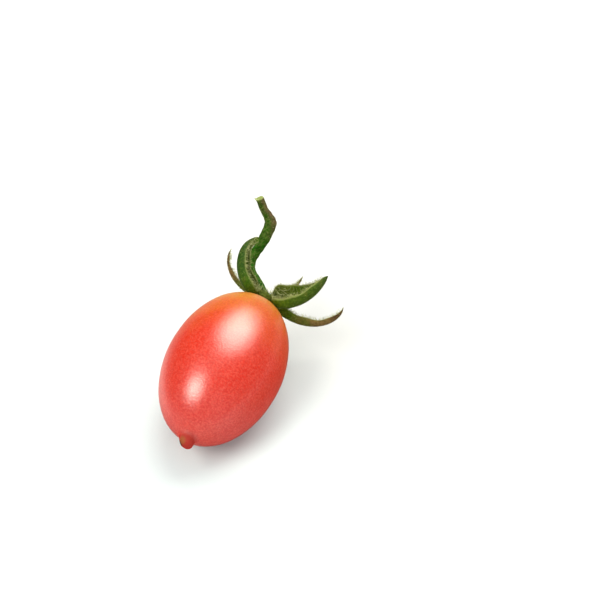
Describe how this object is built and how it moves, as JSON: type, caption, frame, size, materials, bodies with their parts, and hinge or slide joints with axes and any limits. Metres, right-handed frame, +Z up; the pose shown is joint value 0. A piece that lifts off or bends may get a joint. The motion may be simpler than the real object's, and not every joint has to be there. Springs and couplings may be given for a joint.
{
  "type": "cherry tomato",
  "caption": "Egg-shaped cherry tomato with a small nipple at the blossom end, curled green sepals and a cut stalk, lying on its side.",
  "frame": {"origin": "middle of the flat rest spot under the belly", "axes": "+Z up, +Y horizontal along the fruit towards its stem end, +X to the right seen from the blossom end"},
  "size_m": [0.0356, 0.0707, 0.0353],
  "materials": {
    "skin": "satin, waxy, coral pink with an orange shoulder",
    "sepal": "matt, finely hairy green",
    "stalk": "matt, hairy green with brown marks"
  },
  "bodies": {
    "root": {"fruit": "skin", "calyx": "sepal", "pedicel": "stalk"}
  },
  "joints": []
}
